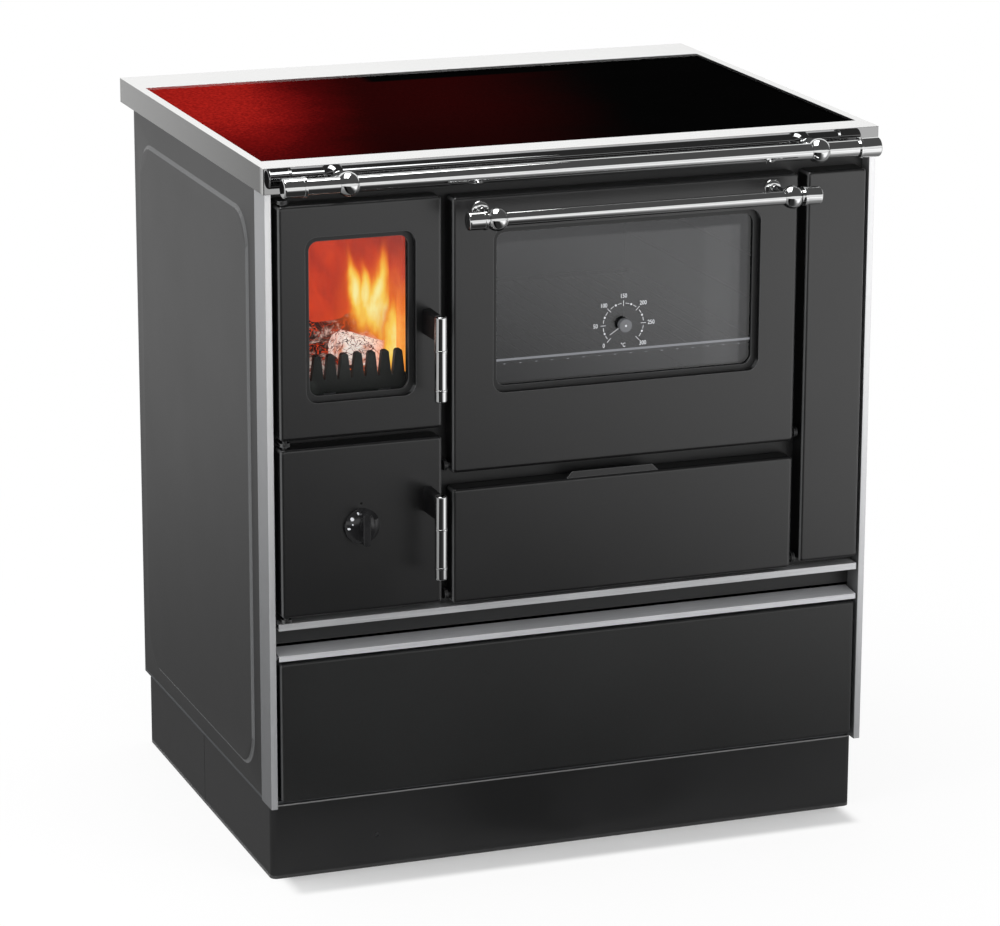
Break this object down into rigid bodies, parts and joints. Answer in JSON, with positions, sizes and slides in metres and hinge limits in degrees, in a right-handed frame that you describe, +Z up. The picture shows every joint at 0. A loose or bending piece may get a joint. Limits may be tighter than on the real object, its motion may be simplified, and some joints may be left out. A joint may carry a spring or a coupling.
{
  "type": "wood cookstove",
  "caption": "Free-standing wood-fired cookstove with a glazed firebox, ash door, glazed oven, glass hob, towel rails and a wood drawer.",
  "frame": {"origin": "on the floor, below the middle of the whole stove's bounding box", "axes": "+Z up, -Y out of the stove's front, +X to the right seen from the front"},
  "size_m": [0.754, 0.6744, 0.85],
  "materials": {
    "plinth_enamel": "satin enamel",
    "body_enamel": "dark grey semi-gloss enamel",
    "drawer_enamel": "fine-grained black enamel",
    "sheet_steel": "bare rolled sheet",
    "polished_steel": "polished",
    "satin_aluminium": "satin",
    "cast_black": "rough black",
    "hob_glass": "black glass ceramic",
    "clear_glass": "clear",
    "rope": "glass-fibre rope",
    "firebrick": null,
    "chrome": "mirror",
    "knob_black": "gloss",
    "oven_enamel": "speckled oven enamel"
  },
  "bodies": {
    "body": {"plinth_front": "plinth_enamel", "plinth_rear": "plinth_enamel", "base_plate": "sheet_steel", "side_panel_left": "body_enamel", "side_panel_right": "body_enamel", "back_panel": "sheet_steel", "corner_trim_left": "satin_aluminium", "corner_trim_right": "satin_aluminium", "front_frame": "cast_black", "upper_strip": "satin_aluminium", "right_cover": "body_enamel", "top_plate": "sheet_steel", "mid_shelf": "sheet_steel", "hob_frame": "polished_steel", "hob_glass": "hob_glass", "hob_seal": "rope", "hob_rail": "chrome", "hob_rail_posts": "chrome", "hob_rail_caps": "chrome", "firebox_shell": "sheet_steel", "firebrick_lining": "firebrick", "fire_grate": "cast_black", "log_comb": "cast_black", "ash_pan": "sheet_steel", "oven_muffle": "oven_enamel", "oven_rack": "chrome", "flue_casing": "sheet_steel", "flue_collar": "cast_black", "drawer_runners": "sheet_steel", "hinge_pins": "sheet_steel", "latch_keepers": "sheet_steel"},
    "firebox_door": {"firebox_door_panel": "body_enamel", "firebox_door_liner": "cast_black", "firebox_glass": "clear_glass", "firebox_glass_clips": "sheet_steel", "firebox_door_seal": "rope"},
    "fire_handle": {"fire_handle_hub": "cast_black", "fire_handle_grip": "chrome"},
    "ash_door": {"ash_door_panel": "body_enamel", "ash_door_liner": "cast_black", "ash_door_seal": "rope"},
    "ash_handle": {"ash_handle_hub": "cast_black", "ash_handle_grip": "chrome"},
    "air_control": {"air_knob": "knob_black", "air_disc": "sheet_steel"},
    "oven_door": {"oven_door_panel": "body_enamel", "oven_door_liner": "cast_black", "oven_glass": "clear_glass", "oven_glass_clips": "sheet_steel", "oven_door_seal": "rope", "oven_rail": "chrome", "oven_rail_posts": "chrome", "oven_rail_caps": "chrome", "thermometer_hub": "cast_black"},
    "thermometer_pointer": {"thermometer_needle": "cast_black"},
    "soot_flap": {"flap_panel": "body_enamel", "flap_liner": "cast_black"},
    "wood_drawer": {"drawer_front": "drawer_enamel", "drawer_pull": "satin_aluminium", "drawer_box": "sheet_steel"}
  },
  "joints": [
    {"name": "firebox_door_hinge", "type": "hinge", "parent": "body", "child": "firebox_door", "pos_m": [-0.355, -0.26175, 0.67], "axis": [0, 0, -1], "range_deg": [0, 110]},
    {"name": "fire_handle_turn", "type": "hinge", "parent": "firebox_door", "child": "fire_handle", "pos_m": [-0.1855, -0.26875, 0.662], "axis": [0, -1, 0], "range_deg": [0, 75]},
    {"name": "ash_door_hinge", "type": "hinge", "parent": "body", "child": "ash_door", "pos_m": [-0.355, -0.26175, 0.425], "axis": [0, 0, -1], "range_deg": [0, 110]},
    {"name": "ash_handle_turn", "type": "hinge", "parent": "ash_door", "child": "ash_handle", "pos_m": [-0.1855, -0.26875, 0.452], "axis": [0, -1, 0], "range_deg": [0, 75]},
    {"name": "air_knob_turn", "type": "hinge", "parent": "ash_door", "child": "air_control", "pos_m": [-0.266, -0.26875, 0.428], "axis": [0, 1, 0], "range_deg": [0, 95]},
    {"name": "oven_door_hinge", "type": "hinge", "parent": "body", "child": "oven_door", "pos_m": [0.059, -0.25775, 0.487], "axis": [1, 0, 0], "range_deg": [0, 90]},
    {"name": "thermometer_needle_turn", "type": "hinge", "parent": "oven_door", "child": "thermometer_pointer", "pos_m": [0.059, -0.25865, 0.636], "axis": [0, 1, 0], "range_deg": [-12, 258]},
    {"name": "soot_flap_hinge", "type": "hinge", "parent": "body", "child": "soot_flap", "pos_m": [0.059, -0.25875, 0.332], "axis": [1, 0, 0], "range_deg": [0, 85]},
    {"name": "wood_drawer_slide", "type": "slide", "parent": "body", "child": "wood_drawer", "axis": [0, -1, 0], "range_m": [0, 0.4]}
  ]
}
